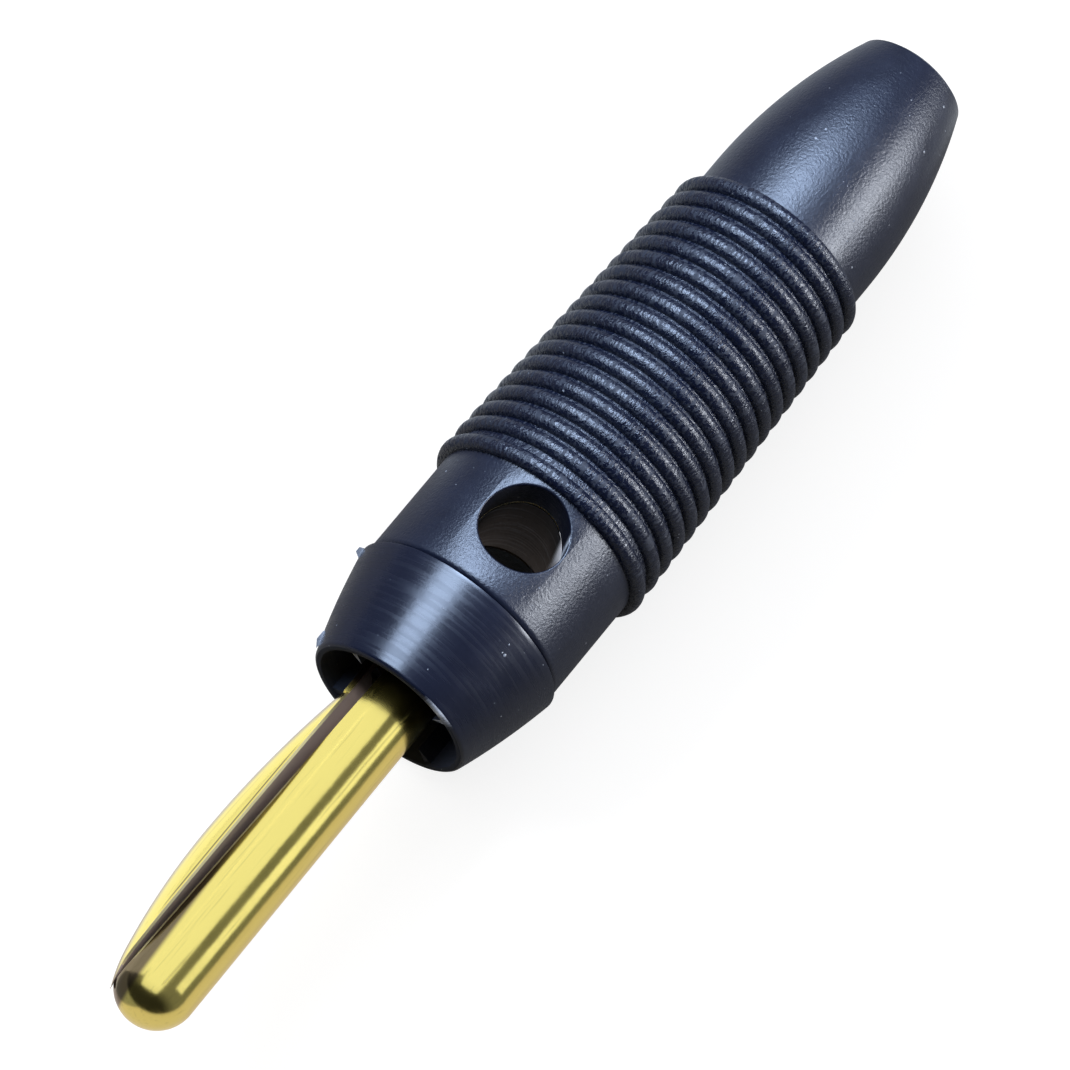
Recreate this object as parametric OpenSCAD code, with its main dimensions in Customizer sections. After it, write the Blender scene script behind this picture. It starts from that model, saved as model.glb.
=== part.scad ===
// Stackable 4 mm banana plug: a turned contact pin with a bowed spring leaf, a tapered nose collar
// and a ribbed push-on grip sleeve with a cross hole that takes the pin of a second plug.
// X runs along the plug from the pin's tip to the cable end, and is zero on the nose's front face.
// Z is the axis of the cross hole, and Y points to the side that carries the spring leaf.

/* [Contact pin] */
// Length of the pin in front of the nose
pin_length = 19; // [17:0.1:22]
// Diameter of the pin where its round tip begins
pin_tip_d = 3.86; // [3.7:0.02:4]
// Diameter of the pin where it enters the nose
pin_root_d = 3.66; // [3.5:0.02:4]
// Height of the leaf's seat above the axis at the nose's front face
seat_root_y = 1.12; // [1:0.02:1.3]
// Rise of the leaf's seat towards the tip, in degrees
seat_slope = 1.45; // [1.2:0.01:1.6]
// Diameter of the neck that carries the nose
neck_d = 5.2; // [4.9:0.05:5.5]
// Diameter of the shank inside the sleeve
shank_d = 6.4; // [6.2:0.05:6.8]
// Length of the shank behind the nose
shank_length = 13.8; // [13:0.1:15]
// Chamfer at the ends of the shank
shank_chamfer = 0.3; // [0.1:0.05:0.5]
// Diameter of the hole for the bare wire
wire_hole_d = 2.6; // [2:0.1:3]
// Depth of the hole for the bare wire
wire_hole_depth = 7.5; // [6:0.1:8]

/* [Spring leaf] */
// Height of the bow above the leaf's flat underside
leaf_rise = 1.06; // [0.8:0.02:1.2]
// Distance from the pin's tip back to the leaf's free end
leaf_tip_inset = 0.55; // [0.5:0.05:1]
// Distance from the leaf's free end back to the bow's highest point
leaf_crown_setback = 8.55; // [8:0.05:9.5]
// Depth to which the bow runs in behind the nose's front face
leaf_root_depth = 0.9; // [0.6:0.05:1.2]
// Gap between the leaf and its seat at the free end
leaf_tip_gap = 0.16; // [0.12:0.01:0.22]
// Width of the tongue that is held in the neck
tongue_width = 1.8; // [1.2:0.1:2]
// Thickness of the tongue
tongue_thickness = 0.25; // [0.2:0.01:0.32]
// Length of the neck's slot that holds the tongue
tongue_slot_length = 1.6; // [1:0.1:2.4]

/* [Nose collar] */
// Length of the nose's visible cone
nose_length = 5.2; // [5:0.1:6.5]
// Diameter of the nose's front face
nose_front_d = 8.3; // [8.2:0.1:9]
// Diameter of the nose's rear edge
nose_rear_d = 11; // [10.7:0.1:11.4]
// Height of the nose's outward curve above a straight cone
nose_bulge = 0.1; // [0.04:0.02:0.2]
// Radius of the nose's front edge
nose_edge_r = 0.15; // [0.1:0.01:0.2]
// Diameter of the recess round the pin
recess_d = 7.6; // [7:0.1:7.7]
// Depth of the recess round the pin
recess_depth = 2; // [1.5:0.1:2.5]
// Height of the wedge-shaped ribs on the recess wall
wedge_height = 0.95; // [0.5:0.05:1]
// Width of each wedge at the recess wall
wedge_width = 0.5; // [0.3:0.05:0.8]
// Depth of the wedges' front ends below the nose's front face
wedge_inset = 0.15; // [0.05:0.05:0.4]
// Depth of the wedges' roots in the wall and the floor of the recess
wedge_root = 0.175; // [0.1:0.025:0.25]
// Diameter of the spigot that centres the sleeve
spigot_d = 7.9; // [7.5:0.1:8.2]
// Length of the spigot
spigot_length = 0.9; // [0.6:0.1:1]

/* [Grip sleeve] */
// Diameter of the sleeve's plain front
sleeve_d = 10.6; // [10.3:0.1:10.8]
// Chamfer at the sleeve's front edge
sleeve_edge = 0.3; // [0.1:0.05:0.5]
// Diameter of the cross hole
cross_hole_d = 4.2; // [4.1:0.02:4.3]
// Distance from the sleeve's front edge to the cross hole's axis
cross_hole_setback = 3.6; // [3.5:0.1:4.2]
// Distance from the cross hole's axis to the first rib
rib_lead = 2.7; // [2.7:0.1:3.5]
// Number of grip ribs
rib_count = 18; // [14:1:20]
// Distance between neighbouring ribs
rib_pitch = 1.02; // [0.94:0.01:1.1]
// Distance between the first two ribs
rib_first_pitch = 1.2; // [1:0.01:1.3]
// Diameter of the first rib
rib_first_d = 11.6; // [11.2:0.1:12]
// Diameter of the last rib
rib_last_d = 10.3; // [10:0.1:10.8]
// Radius of a rib's round crest
rib_crest_r = 0.42; // [0.36:0.01:0.46]
// Depth of the grooves between the ribs
groove_depth = 0.38; // [0.25:0.01:0.4]

/* [Sleeve tail] */
// Diameter of the tail behind the ribs
tail_d = 9.2; // [8.8:0.1:9.4]
// Length of the tail's straight part
tail_straight = 1.7; // [1:0.1:3]
// Length of the tail's curved part
tail_curve = 9.8; // [9:0.1:12]
// Diameter of the tail's end
tail_end_d = 5.5; // [4.9:0.1:5.8]
// Chamfer at the tail's end
tail_edge = 0.25; // [0.1:0.05:0.3]
// Diameter of the cable's entry
cable_hole_d = 3.8; // [3.2:0.1:4]
// Length of the cable's entry
cable_hole_length = 3.6; // [3:0.1:5]
// Diameter of the room for the stripped cable
wire_room_d = 5.2; // [4.8:0.1:5.6]

/* [Clamp screw] */
// Diameter of the tapped hole for the clamp screw
clamp_hole_d = 3; // [2.5:0.1:3.2]
// Length of the clamp screw
clamp_length = 2; // [1.6:0.1:2.1]
// Depth of the screw's outer end below the shank's surface
clamp_inset = 0.25; // [0.1:0.05:0.5]
// Distance from the shank's rear end to the screw's axis
clamp_setback = 3.5; // [2.5:0.1:4.5]
// Width of the driver slot
slot_width = 0.5; // [0.3:0.05:0.7]
// Depth of the driver slot
slot_depth = 0.6; // [0.4:0.05:0.8]

/* [Fits] */
// Gap round the neck inside the nose
neck_clearance = 0.02; // [0.01:0.01:0.05]
// Running gap of the sleeve on the shank and on the spigot
slide_clearance = 0.05; // [0.02:0.01:0.1]
// Gap between the nose and the sleeve's front edge
joint_gap = 0.12; // [0.05:0.01:0.3]
// Gap round the clamp screw
clamp_clearance = 0.02; // [0.01:0.01:0.05]
// Gap beside the leaf's tongue
tongue_clearance = 0.12; // [0.05:0.01:0.25]
// Gap behind the shank and behind the spigot
end_clearance = 0.3; // [0.15:0.05:0.5]

/* [Hidden] */
$fn = 96;
over = 1;

// Stations along the plug
tip_x = -pin_length;
spigot_end_x = nose_length + spigot_length;
shank_end_x = spigot_end_x + shank_length;
sleeve_x = nose_length + joint_gap;
cross_hole_x = sleeve_x + cross_hole_setback;
rib_first_x = cross_hole_x + rib_lead;
rib_last_x = rib_first_x + rib_first_pitch + (rib_count - 2) * rib_pitch;
step_x = rib_last_x + rib_pitch / 2;
curve_x = step_x + tail_straight;
tail_end_x = curve_x + tail_curve;
cable_hole_x = tail_end_x - cable_hole_length;
bore_end_x = shank_end_x + end_clearance;
clamp_x = shank_end_x - clamp_setback;

// Radii that several pieces share
tip_r = pin_tip_d / 2;
shank_bore_r = shank_d / 2 + slide_clearance;
spigot_bore_r = spigot_d / 2 + slide_clearance;
neck_bore_r = neck_d / 2 + neck_clearance;

// The leaf is a bow of round section cut flat underneath, and its two arcs meet at its highest point
leaf_tip_x = tip_x + leaf_tip_inset;
leaf_under_y = seat_y(leaf_tip_x) + leaf_tip_gap;
leaf_crown_x = leaf_tip_x + leaf_crown_setback;
// The tip's arm of the bow runs into the other arm, and is thinner by this so that one lies in the other
arm_step = 0.02;
tongue_end_x = recess_depth + tongue_slot_length - tongue_clearance;
slot_half = tongue_width / 2 + tongue_clearance;

function seat_y(x) = seat_root_y - x * tan(seat_slope);
function bow_radius(half, rise) = (half * half + rise * rise) / (2 * rise);
function rib_x(i) = i == 0 ? rib_first_x : rib_first_x + rib_first_pitch + (i - 1) * rib_pitch;
function rib_r(x) = (rib_first_d + (rib_last_d - rib_first_d) * (x - rib_first_x)
    / (rib_last_x - rib_first_x)) / 2;

// Turns an outline drawn as radius and station about the plug's axis
module turned() {
    rotate([0, 90, 0])
        rotate_extrude()
            children();
}

// Round bar along the plug from one station to another
module bar(r, from_x, to_x) {
    translate([from_x, 0, 0])
        rotate([0, 90, 0])
            cylinder(r = r, h = to_x - from_x);
}

// Everything above the leaf's seat, from before the tip to the given station
module above_seat(to_x, half_width) {
    translate([0, seat_root_y, 0])
        rotate([0, 0, -seat_slope])
            translate([-pin_length - over, 0, -half_width])
                cube([pin_length + over + to_x, neck_d, 2 * half_width]);
}

module contact_outline() {
    translate([0, tip_x + tip_r])
        intersection() {
            circle(r = tip_r);
            translate([0, -tip_r])
                square([tip_r, tip_r]);
        }
    polygon([
        [0, tip_x + tip_r],
        [tip_r, tip_x + tip_r],
        [pin_root_d / 2, 0],
        [pin_root_d / 2, recess_depth],
        [neck_d / 2, recess_depth],
        [neck_d / 2, spigot_end_x],
        [shank_d / 2 - shank_chamfer, spigot_end_x],
        [shank_d / 2, spigot_end_x + shank_chamfer],
        [shank_d / 2, shank_end_x - shank_chamfer],
        [shank_d / 2 - shank_chamfer, shank_end_x],
        [0, shank_end_x]
    ]);
}

module contact_pin() {
    color("goldenrod")
        difference() {
            turned()
                contact_outline();
            above_seat(recess_depth, neck_d);
            above_seat(recess_depth + tongue_slot_length, slot_half);
            translate([cross_hole_x, 0, 0])
                cylinder(d = cross_hole_d, h = shank_d + over, center = true);
            bar(wire_hole_d / 2, shank_end_x - wire_hole_depth, shank_end_x + over);
            translate([clamp_x, 0, 0])
                cylinder(d = clamp_hole_d, h = shank_d);
        }
}

// One arm of the bow: part of a ring of round section about an axis across the plug, cut by the
// flat underside. Its arc is highest at the bow's crown and reaches the given distance from there.
module leaf_arm(reach, section_r, from_angle) {
    sweep = 30;
    arc_r = bow_radius(reach, leaf_rise);
    intersection() {
        translate([leaf_crown_x, leaf_under_y + leaf_rise - arc_r, 0])
            rotate([0, 0, from_angle])
                rotate_extrude(angle = sweep, $fn = 180)
                    translate([arc_r - tip_r, 0])
                        circle(r = section_r);
        translate([leaf_tip_x - over, leaf_under_y, -neck_d])
            cube([leaf_root_depth - leaf_tip_x + 2 * over, neck_d, 2 * neck_d]);
    }
}

module spring_leaf() {
    tongue_x = leaf_root_depth - 2 * over;
    color("gold")
        union() {
            leaf_arm(leaf_crown_setback, tip_r - arm_step, 88);
            leaf_arm(leaf_root_depth - leaf_crown_x, tip_r, 60);
            translate([tongue_x, leaf_under_y, -tongue_width / 2])
                cube([tongue_end_x - tongue_x, tongue_thickness, tongue_width]);
        }
}

// Cone of the nose with its slight outward curve and its round front edge
module nose_outline() {
    run = nose_length;
    rise = (nose_rear_d - nose_front_d) / 2;
    slant = sqrt(run * run + rise * rise);
    arc_r = bow_radius(slant / 2, nose_bulge);
    drop = arc_r - nose_bulge;
    centre_r = (nose_front_d + nose_rear_d) / 4 - drop * run / slant;
    centre_x = run / 2 + drop * rise / slant;
    intersection() {
        translate([centre_r, centre_x])
            circle(r = arc_r, $fn = 720);
        union() {
            translate([0, nose_edge_r])
                square([nose_rear_d, run - nose_edge_r]);
            square([nose_front_d / 2 - nose_edge_r, run]);
            translate([nose_front_d / 2 - nose_edge_r, nose_edge_r])
                circle(r = nose_edge_r);
        }
    }
}

module nose_collar() {
    color("#15171c")
        union() {
            difference() {
                turned()
                    union() {
                        nose_outline();
                        square([spigot_d / 2, spigot_end_x]);
                    }
                bar(neck_bore_r, -over, spigot_end_x + over);
                bar(recess_d / 2, -over, recess_depth);
            }
            intersection() {
                turned()
                    nose_outline();
                for (turn = [45:90:315])
                    rotate([turn, 0, 0])
                        recess_wedge();
            }
        }
}

// Wedge-shaped rib on the wall of the recess, with its root in the wall and its back on the floor
module recess_wedge() {
    root_y = recess_d / 2 + wedge_root;
    rotate([0, 90, 0])
        translate([0, 0, wedge_inset])
            linear_extrude(recess_depth + wedge_root - wedge_inset)
                polygon([
                    [-wedge_width / 2, root_y],
                    [0, recess_d / 2 - wedge_height],
                    [wedge_width / 2, root_y]
                ]);
}

module grip_outline() {
    core_first_r = rib_first_d / 2 - groove_depth;
    core_last_r = rib_last_d / 2 - groove_depth;
    polygon([
        [0, sleeve_x],
        [sleeve_d / 2 - sleeve_edge, sleeve_x],
        [sleeve_d / 2, sleeve_x + sleeve_edge],
        [sleeve_d / 2, rib_first_x],
        [core_first_r, rib_first_x],
        [core_last_r, rib_last_x],
        [core_last_r, step_x],
        [0, step_x]
    ]);
    for (i = [0:rib_count - 1])
        translate([rib_r(rib_x(i)) - rib_crest_r, rib_x(i)])
            circle(r = rib_crest_r, $fn = 48);
    tail_outline();
}

// Straight stretch and curved end of the tail
module tail_outline() {
    arc_r = bow_radius(tail_curve, (tail_d - tail_end_d) / 2);
    translate([0, rib_last_x])
        square([tail_d / 2, curve_x - rib_last_x]);
    intersection() {
        translate([tail_d / 2 - arc_r, curve_x])
            circle(r = arc_r, $fn = 720);
        polygon([
            [0, curve_x],
            [tail_d / 2, curve_x],
            [tail_d / 2, tail_end_x - tail_edge - tail_d / 2 + tail_end_d / 2],
            [tail_end_d / 2 - tail_edge, tail_end_x],
            [0, tail_end_x]
        ]);
    }
}

// Stepped bore of the sleeve: spigot seat, shank bore, wire room and cable entry
module grip_bore() {
    room_r = wire_room_d / 2;
    cable_r = cable_hole_d / 2;
    polygon([
        [0, sleeve_x - over],
        [spigot_bore_r, sleeve_x - over],
        [spigot_bore_r, spigot_end_x + end_clearance],
        [shank_bore_r, spigot_end_x + end_clearance],
        [shank_bore_r, bore_end_x],
        [room_r, bore_end_x],
        [room_r, cable_hole_x - room_r + cable_r],
        [cable_r, cable_hole_x],
        [cable_r, tail_end_x + over],
        [0, tail_end_x + over]
    ]);
}

module grip_sleeve() {
    color("#1b1d22")
        difference() {
            turned()
                difference() {
                    grip_outline();
                    grip_bore();
                }
            translate([cross_hole_x, 0, 0])
                cylinder(d = cross_hole_d, h = 2 * sleeve_d, center = true);
        }
}

module clamp_screw() {
    top_z = shank_d / 2 - clamp_inset;
    color("silver")
        translate([clamp_x, 0, top_z - clamp_length])
            difference() {
                cylinder(d = clamp_hole_d - 2 * clamp_clearance, h = clamp_length);
                translate([-clamp_hole_d, -slot_width / 2, clamp_length - slot_depth])
                    cube([2 * clamp_hole_d, slot_width, slot_depth + over]);
            }
}

contact_pin();
spring_leaf();
nose_collar();
grip_sleeve();
clamp_screw();
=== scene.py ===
# %% [markdown]
# # A stackable 4 mm banana plug
# The plug is a gold-plated pin with a bowed spring leaf, a tapered black nose and a ribbed black
# sleeve that pushes on from behind. This lesson loads the measured CAD model as a fixed frame,
# then remakes each visible piece with smooth, finely rounded surfaces and gives it its finish.
# Every piece keeps the place and the form of the CAD solid that it stands for.

# %% Load the measured frame
import math
import bmesh
import bpy
from mathutils import Matrix, Vector


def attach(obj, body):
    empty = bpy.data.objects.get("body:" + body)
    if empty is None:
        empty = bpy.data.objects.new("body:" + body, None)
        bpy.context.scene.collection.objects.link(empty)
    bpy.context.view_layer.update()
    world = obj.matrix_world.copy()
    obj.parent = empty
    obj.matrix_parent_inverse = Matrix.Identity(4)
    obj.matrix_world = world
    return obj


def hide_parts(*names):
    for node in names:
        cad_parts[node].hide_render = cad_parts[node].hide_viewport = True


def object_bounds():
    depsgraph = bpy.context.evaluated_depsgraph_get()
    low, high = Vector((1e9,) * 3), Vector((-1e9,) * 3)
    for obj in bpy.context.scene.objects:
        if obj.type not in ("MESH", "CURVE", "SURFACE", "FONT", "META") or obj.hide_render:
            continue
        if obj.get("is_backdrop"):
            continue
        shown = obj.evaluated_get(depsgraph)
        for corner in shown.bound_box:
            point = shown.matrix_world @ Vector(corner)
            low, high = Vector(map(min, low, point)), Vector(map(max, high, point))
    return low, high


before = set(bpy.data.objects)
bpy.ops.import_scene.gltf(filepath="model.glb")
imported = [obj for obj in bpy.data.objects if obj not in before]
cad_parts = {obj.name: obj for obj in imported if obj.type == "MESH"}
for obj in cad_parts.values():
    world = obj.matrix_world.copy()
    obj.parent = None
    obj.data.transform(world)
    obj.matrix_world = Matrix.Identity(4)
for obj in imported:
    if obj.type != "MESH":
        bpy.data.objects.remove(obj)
cad_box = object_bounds()
MM = 0.001

# %% [markdown]
# ## The camera
# The plug was seen from above and a little from the nose: its axis leans 22.5 degrees towards the
# lens, and lies turned in the frame so that the tail points to the upper right. A long lens from
# 350 mm away keeps the two ends at nearly one scale. The camera's three axes are worked out from
# these angles, which is more exact than turning it by eye.

# %% Camera at the viewing angle
lean = math.radians(22.5)
side_turn = math.radians(5.4)
frame_turn = math.radians(50.24)
aim_x = 11.1
aim_shift = 0.0615
camera_distance = 350


def stand(place, x_axis, y_axis, z_axis):
    """Gives the matrix of an object at a place, with its three axes as they are handed in."""
    return Matrix.Translation(place) @ Matrix((x_axis, y_axis, z_axis)).transposed().to_4x4()


to_camera = Vector((
    -math.sin(lean),
    -math.cos(lean) * math.sin(side_turn),
    math.cos(lean) * math.cos(side_turn),
))
along = (Vector((1, 0, 0)) - to_camera * to_camera.x).normalized()
across = to_camera.cross(along)
right = along * math.cos(frame_turn) - across * math.sin(frame_turn)
up = along * math.sin(frame_turn) + across * math.cos(frame_turn)
aim = Vector((aim_x, 0, 0)) - across * aim_shift

camera_data = bpy.data.cameras.new("plug_camera")
camera_data.lens = 258.5
camera_data.sensor_width = 36
camera_data.clip_start = 0.01
camera_data.clip_end = 10
camera = bpy.data.objects.new("plug_camera", camera_data)
camera.matrix_world = stand((aim + to_camera * camera_distance) * MM, right, up, to_camera)
bpy.context.collection.objects.link(camera)
bpy.context.scene.camera = camera
bpy.context.scene.view_settings.view_transform = "Standard"
print("camera looks from", [round(c, 4) for c in camera.location])

# %% [markdown]
# ## Flagged soft boxes
# Polished gold mirrors its lamps, while black plastic gives back only a few hundredths of the light,
# so a photographer lights them apart: large dim panels for the metal, and small bright boxes for the
# plastic, each shaded with black card so that it reaches its own material. Light linking does the
# work of the card. Each lamp is placed by two angles, its turn about the plug's axis and its lean
# towards the tail, so that the bands of light fall where they should. One small lamp shines into the
# cross hole; polished metal doesn't mirror it, because glossy rays are told to pass it by.

# %% Lamps
black_pieces = bpy.data.collections.new("black_pieces")
metal_pieces = bpy.data.collections.new("metal_pieces")
lamp_distance = 0.3
panel_white = (0.98, 0.99, 1.0)


def area_lamp(name, length, width, radiance, colour, matrix, receivers):
    lamp = bpy.data.lights.new(name, "AREA")
    lamp.shape = "RECTANGLE"
    lamp.size = length
    lamp.size_y = width
    lamp.energy = math.pi * length * width * radiance
    lamp.color = colour
    holder = bpy.data.objects.new(name, lamp)
    holder.matrix_world = matrix
    bpy.context.collection.objects.link(holder)
    holder.light_linking.receiver_collection = receivers
    print(name, "energy", round(lamp.energy, 4))
    return holder


def soft_box(name, turn, lean_to_tail, length, width, radiance, colour, receivers):
    angle = side_turn + math.radians(turn)
    tilt = math.radians(lean_to_tail)
    toward = Vector((
        math.sin(tilt),
        -math.cos(tilt) * math.sin(angle),
        math.cos(tilt) * math.cos(angle),
    ))
    lengthwise = (Vector((1, 0, 0)) - toward * toward.x).normalized()
    place = toward * lamp_distance + Vector((aim.x * MM, 0, 0))
    matrix = stand(place, lengthwise, toward.cross(lengthwise), toward)
    return area_lamp(name, length, width, radiance, colour, matrix, receivers)


soft_box("gold_top_panel", -16, 3, 0.54, 0.346, 1.05, panel_white, metal_pieces)
soft_box("gold_leaf_side_panel", -71.8, 16, 0.36, 0.28, 1.05, panel_white, metal_pieces)
soft_box("gold_far_side_panel", 53, 30, 0.22, 0.13, 1.2, (1.0, 1.0, 1.0), metal_pieces)
bore_light = soft_box("gold_bore_light", -52, -20, 0.1, 0.1, 12, (0.95, 0.97, 1.0), metal_pieces)
bore_light.visible_glossy = False
soft_box("black_leaf_side_box", -33, 5, 0.32, 0.15, 20, (0.56, 0.72, 1.0), black_pieces)
soft_box("black_top_box", -19, 23, 0.16, 0.14, 17, (0.54, 0.7, 1.0), black_pieces)
soft_box("black_far_side_box", 54, 30, 0.2, 0.08, 29, (0.86, 0.91, 1.0), black_pieces)

# %% [markdown]
# ## Room and floor
# The room gives a dim light that fades away ahead of the plug. Only the camera sees it as white,
# through the Light Path node.
# The floor is a pale disc just under the ribs that keeps the plug's soft shadow. The white that the
# metal mirrors from below comes from two lamps that lie flat on the floor, like a light table that
# is brighter on the leaf's side. Two smaller ones give the sleeve's outline its pale edge.

# %% World and floor
world = bpy.data.worlds.new("studio_room")
bpy.context.scene.world = world
world.use_nodes = True
tree = world.node_tree
tree.nodes.clear()
room_out = tree.nodes.new("ShaderNodeOutputWorld")
room_mix = tree.nodes.new("ShaderNodeMixShader")
room_dim = tree.nodes.new("ShaderNodeBackground")
room_dim.inputs["Color"].default_value = (0.94, 0.95, 1.0, 1)
room_white = tree.nodes.new("ShaderNodeBackground")
room_white.inputs["Color"].default_value = (1, 1, 1, 1)
room_white.inputs["Strength"].default_value = 1
room_path = tree.nodes.new("ShaderNodeLightPath")
room_place = tree.nodes.new("ShaderNodeTexCoord")
room_axes = tree.nodes.new("ShaderNodeSeparateXYZ")
room_fade = tree.nodes.new("ShaderNodeMapRange")
for label, value in (("From Min", -0.62), ("From Max", -0.2), ("To Min", 0.025), ("To Max", 0.22)):
    room_fade.inputs[label].default_value = value
tree.links.new(room_place.outputs["Generated"], room_axes.inputs[0])
tree.links.new(room_axes.outputs["X"], room_fade.inputs["Value"])
tree.links.new(room_fade.outputs["Result"], room_dim.inputs["Strength"])
tree.links.new(room_path.outputs["Is Camera Ray"], room_mix.inputs["Fac"])
tree.links.new(room_dim.outputs[0], room_mix.inputs[1])
tree.links.new(room_white.outputs[0], room_mix.inputs[2])
tree.links.new(room_mix.outputs[0], room_out.inputs["Surface"])

floor_gap = 0.02 * MM
floor_radius = 0.4
floor_glow_strength = 0.8
floor_level = cad_box[0][2] - floor_gap
floor_bm = bmesh.new()
bmesh.ops.create_circle(floor_bm, cap_ends=True, segments=96, radius=floor_radius)
bmesh.ops.translate(floor_bm, verts=floor_bm.verts, vec=(0, 0, floor_level))
floor_mesh = bpy.data.meshes.new("floor_disc")
floor_bm.to_mesh(floor_mesh)
floor_bm.free()
floor = bpy.data.objects.new("floor_disc", floor_mesh)
bpy.context.collection.objects.link(floor)
floor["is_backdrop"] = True

floor_paint = bpy.data.materials.new("floor_white")
floor_paint.use_nodes = True
tree = floor_paint.node_tree
tree.nodes.clear()
floor_out = tree.nodes.new("ShaderNodeOutputMaterial")
floor_add = tree.nodes.new("ShaderNodeAddShader")
floor_matt = tree.nodes.new("ShaderNodeBsdfDiffuse")
floor_matt.inputs["Color"].default_value = (0.35, 0.35, 0.35, 1)
floor_glow = tree.nodes.new("ShaderNodeEmission")
floor_path = tree.nodes.new("ShaderNodeLightPath")
floor_white = tree.nodes.new("ShaderNodeMath")
floor_white.operation = "MULTIPLY"
floor_white.inputs[1].default_value = floor_glow_strength
tree.links.new(floor_path.outputs["Is Camera Ray"], floor_white.inputs[0])
tree.links.new(floor_white.outputs[0], floor_glow.inputs["Strength"])
tree.links.new(floor_matt.outputs[0], floor_add.inputs[0])
tree.links.new(floor_glow.outputs[0], floor_add.inputs[1])
tree.links.new(floor_add.outputs[0], floor_out.inputs["Surface"])
floor_mesh.materials.append(floor_paint)
metal_pieces.objects.link(floor)


table_lift = 0.05 * MM


def light_table(name, start, end, radiance, colour, receivers):
    middle = ((start[0] + end[0]) / 2, (start[1] + end[1]) / 2, floor_level + table_lift)
    area_lamp(
        name, end[0] - start[0], end[1] - start[1], radiance, colour,
        Matrix.Translation(middle) @ Matrix.Rotation(math.pi, 4, "X"), receivers)


light_table(
    "gold_table_leaf_side", (-0.02, 0.0055), (0.15, 0.1555), 1.05, (1, 1, 1), metal_pieces)
light_table(
    "gold_table_far_side", (-0.15, -0.15), (0.15, 0.0055), 0.52, (1, 0.83, 0.75), metal_pieces)
light_table(
    "black_table_leaf_side", (0.014, 0.003), (0.075, 0.025), 0.4, (0.75, 0.87, 1), black_pieces)
light_table(
    "black_table_behind", (0.045, -0.014), (0.075, 0.003), 0.6, (0.85, 0.92, 1), black_pieces)
print("floor at z =", round(floor_level / MM, 3), "mm")

# %% [markdown]
# ## Drawing an outline with a pen
# Turned and moulded round pieces are all made one way: half of the lengthwise outline is drawn as
# a wire, then spun about the axis. The pen extrudes its last vertex for a straight line and spins
# it about a centre for an arc, which is how the shape would be drawn on a workshop sheet. The work
# is done in millimetres, because Blender's tools round off badly on shapes of a few microns.

# %% Pen, spin and edge helpers
def pen_start(x, r):
    bm = bmesh.new()
    return bm, bm.verts.new((x, r, 0))


def pen_lines(bm, vert, *points):
    for x, r in points:
        vert = bmesh.ops.extrude_vert_indiv(bm, verts=[vert])["verts"][0]
        vert.co = (x, r, 0)
    return vert


def pen_arc(bm, vert, centre_x, centre_r, degrees, steps):
    swept = bmesh.ops.spin(
        bm, geom=[vert], cent=(centre_x, centre_r, 0), axis=(0, 0, 1),
        angle=math.radians(degrees), steps=steps)
    return [g for g in swept["geom_last"] if isinstance(g, bmesh.types.BMVert)][0]


def face_outwards(bm):
    merge_distance = 0.0005
    bmesh.ops.remove_doubles(bm, verts=bm.verts, dist=merge_distance)
    bmesh.ops.recalc_face_normals(bm, faces=bm.faces)
    if bm.calc_volume(signed=True) < 0:
        bmesh.ops.reverse_faces(bm, faces=bm.faces)


def spin_about(bm, axis, steps):
    bmesh.ops.spin(
        bm, geom=bm.verts[:] + bm.edges[:], cent=(0, 0, 0), axis=axis,
        angle=2 * math.pi, steps=steps, use_merge=True)
    face_outwards(bm)


def round_rings(bm, rings, width, segments):
    near = 0.002
    chosen = []
    for edge in bm.edges:
        for x, r in rings:
            if all(abs(v.co.x - x) < near and abs(math.hypot(v.co.y, v.co.z) - r) < near
                   for v in edge.verts):
                chosen.append(edge)
    bmesh.ops.bevel(
        bm, geom=chosen, offset=width, affect="EDGES", segments=segments, profile=0.5,
        material=-1, clamp_overlap=True)


def shade_by_angle(bm, degrees):
    limit = math.radians(degrees)
    for face in bm.faces:
        face.smooth = True
    for edge in bm.edges:
        edge.smooth = len(edge.link_faces) == 2 and edge.calc_face_angle(0) < limit


def cut_away(bm, cutter_bm):
    """Takes one closed shape out of another with an exact boolean."""
    pair = []
    for label, source in (("blank", bm), ("cutter", cutter_bm)):
        mesh = bpy.data.meshes.new(label)
        source.to_mesh(mesh)
        source.free()
        made = bpy.data.objects.new(label, mesh)
        bpy.context.collection.objects.link(made)
        pair.append(made)
    blank, cutter = pair
    boolean = blank.modifiers.new("cut", "BOOLEAN")
    boolean.operation = "DIFFERENCE"
    boolean.solver = "EXACT"
    boolean.object = cutter
    bpy.context.view_layer.update()
    evaluated = blank.evaluated_get(bpy.context.evaluated_depsgraph_get())
    result = bmesh.new()
    result.from_mesh(evaluated.to_mesh())
    evaluated.to_mesh_clear()
    print("cut:", len(blank.data.polygons), "faces before,", len(result.faces), "after")
    for made in pair:
        mesh = made.data
        bpy.data.objects.remove(made)
        bpy.data.meshes.remove(mesh)
    return result


def finish_piece(bm, name, body, node, slot, material):
    bmesh.ops.scale(bm, vec=(MM, MM, MM), verts=bm.verts)
    mesh = bpy.data.meshes.new(name)
    bm.to_mesh(mesh)
    bm.free()
    piece = bpy.data.objects.new(name, mesh)
    bpy.context.collection.objects.link(piece)
    mesh.materials.append(material)
    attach(piece, body)
    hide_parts(node)
    (black_pieces if "plastic" in slot else metal_pieces).objects.link(piece)
    print(name, len(mesh.vertices), "vertices,", len(mesh.polygons), "faces")


print("pen and helpers ready")

# %% [markdown]
# ## Shared finishes
# Three effects come back in several materials, so each is a node group: a fine moulded grain, dust
# that clings to the surface as scattered specks, and streaks such as tool marks and light scratches.
# All of them read Object coordinates, turned into millimetres first so that the sizes can be
# written as they are on the real plug.

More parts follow.
